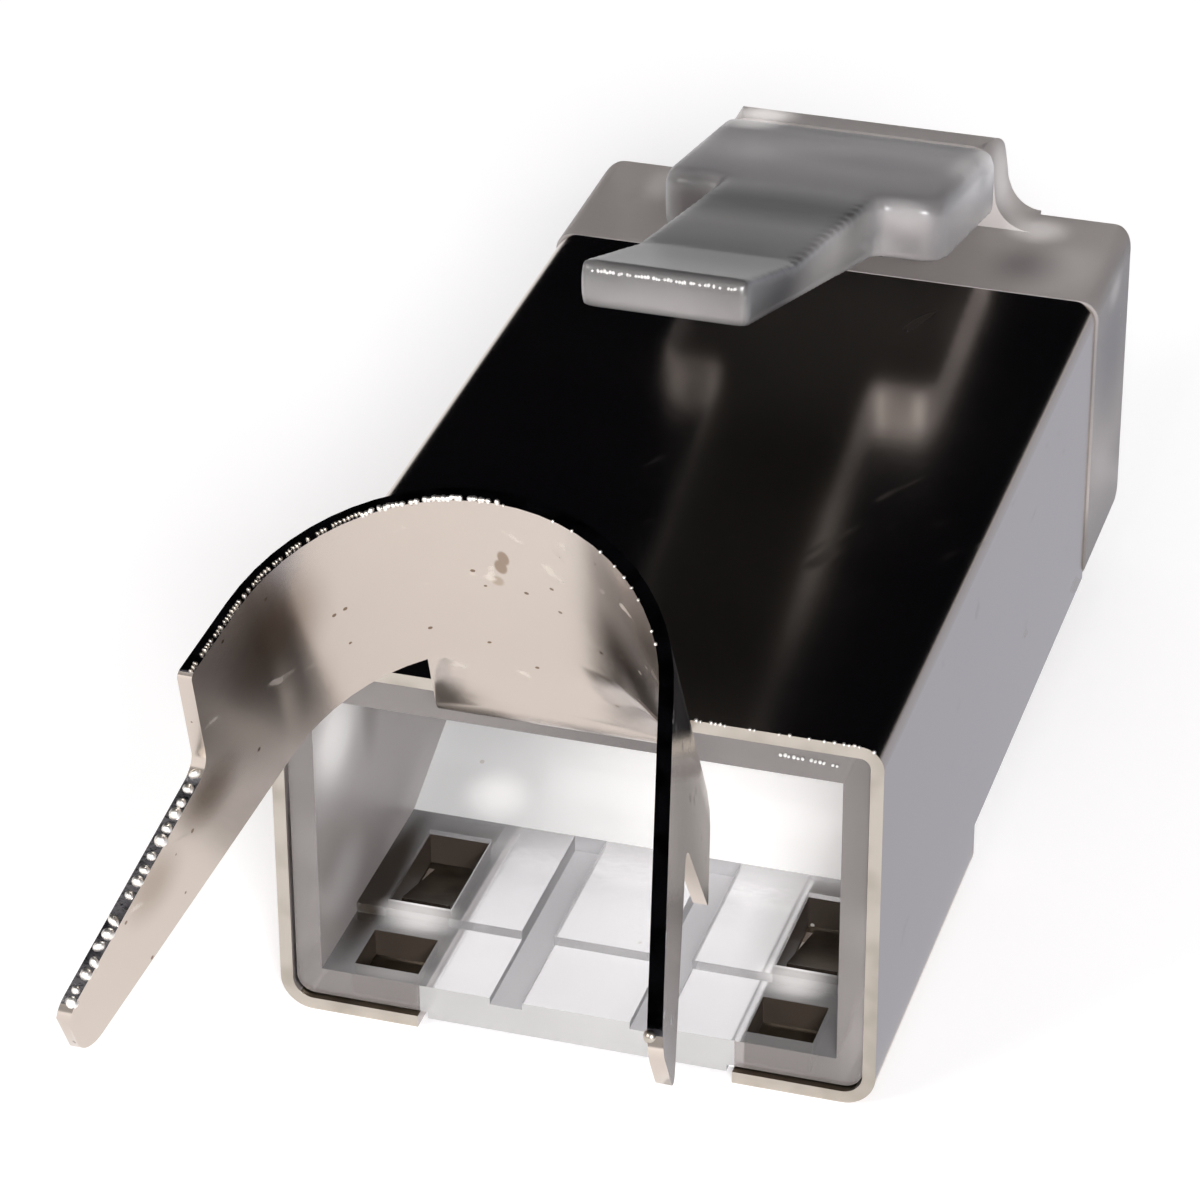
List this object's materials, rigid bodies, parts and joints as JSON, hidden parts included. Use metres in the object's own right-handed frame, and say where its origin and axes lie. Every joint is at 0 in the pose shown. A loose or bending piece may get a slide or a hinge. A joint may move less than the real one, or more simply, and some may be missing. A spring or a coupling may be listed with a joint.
{
  "type": "rj45 modular plug",
  "caption": "Shielded modular plug with a clear moulding, a folded metal case, a sprung latch and an open crimp strap at the rear for a thick round cable.",
  "frame": {"origin": "middle of the metal case's rear edge, at the level of the underside of the two folded flanges", "axes": "+Y along the plug towards the nose that enters the jack, +Z towards the latch side, +X to the right when looking along +Y"},
  "size_m": [0.0118, 0.0344, 0.0145],
  "materials": {
    "nickel": "bright nickel plate on folded sheet",
    "clear_plastic": "clear polycarbonate, moulded",
    "gilt": "gold plated contact blade"
  },
  "bodies": {
    "plug": {"shield": "nickel", "housing": "clear_plastic", "contact_1": "gilt", "contact_2": "gilt", "contact_3": "gilt", "contact_4": "gilt", "contact_5": "gilt", "contact_6": "gilt", "contact_7": "gilt", "contact_8": "gilt"},
    "latch": {"latch": "clear_plastic"}
  },
  "joints": [
    {"name": "latch_flex", "type": "hinge", "parent": "plug", "child": "latch", "pos_m": [0, 0.02072, 0.00822], "axis": [1, 0, 0], "range_deg": [0, 12], "stiffness_Nm_per_rad": 0.2}
  ]
}
